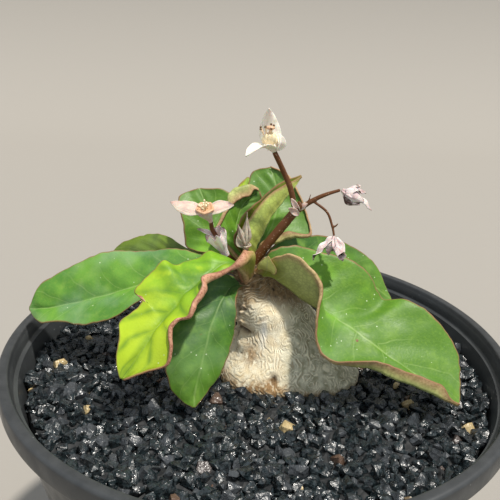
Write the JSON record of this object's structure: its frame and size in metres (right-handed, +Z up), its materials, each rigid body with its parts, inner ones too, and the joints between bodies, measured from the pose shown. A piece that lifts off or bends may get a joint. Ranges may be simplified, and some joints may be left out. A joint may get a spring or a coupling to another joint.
{
  "type": "potted euphorbia moratii",
  "caption": "Small caudex plant with a wrinkled swollen base, wavy waxy leaves and pale bract blooms on thin stalks, standing in black grit in a round plastic nursery pot.",
  "frame": {"origin": "on the pot's axis, in the plane of its flat base", "axes": "+Z up along the pot's axis; -Y faces the viewer of the picture, +X to the right"},
  "size_m": [0.125, 0.125, 0.1528],
  "materials": {
    "pot": "black moulded plastic, scuffed grey on the rim",
    "soil": "glossy black angular lava grit",
    "caudex": "dry cream bark with a net of raised wrinkles",
    "leaf": "waxy bright green, satin, with a reddish margin",
    "leaf_yellow": "waxy yellow-green, satin, with a reddish margin",
    "leaf_dark": "waxy dark green, satin, with a reddish margin",
    "stalk": "reddish brown, smooth",
    "bract": "pale pink and cream, thin and matte",
    "floret": "orange and yellow, satin",
    "bud": "greyish pink, matte",
    "withered": "dry pinkish grey, creased"
  },
  "bodies": {
    "root": {"pot": "pot", "soil": "soil", "caudex": "caudex", "leaf_left": "leaf", "leaf_back_left": "leaf", "leaf_front_left": "leaf_yellow", "leaf_front": "leaf_dark", "leaf_right": "leaf", "leaf_back_right": "leaf_dark", "leaf_upright_left": "leaf", "leaf_back": "leaf_yellow", "leaf_upright_back": "leaf", "leaf_rolled": "leaf", "leaf_young": "leaf", "stalk_main": "stalk", "stalk_left": "stalk", "stalk_buds": "stalk", "pedicel_left": "stalk", "bract_cup_left": "bract", "bloom_top_bracts": "bract", "bloom_top_centre": "floret", "bloom_left_bracts": "bract", "bloom_left_centre": "floret", "buds": "bud", "bloom_side_withered": "withered", "bloom_hanging_withered": "withered"}
  },
  "joints": []
}
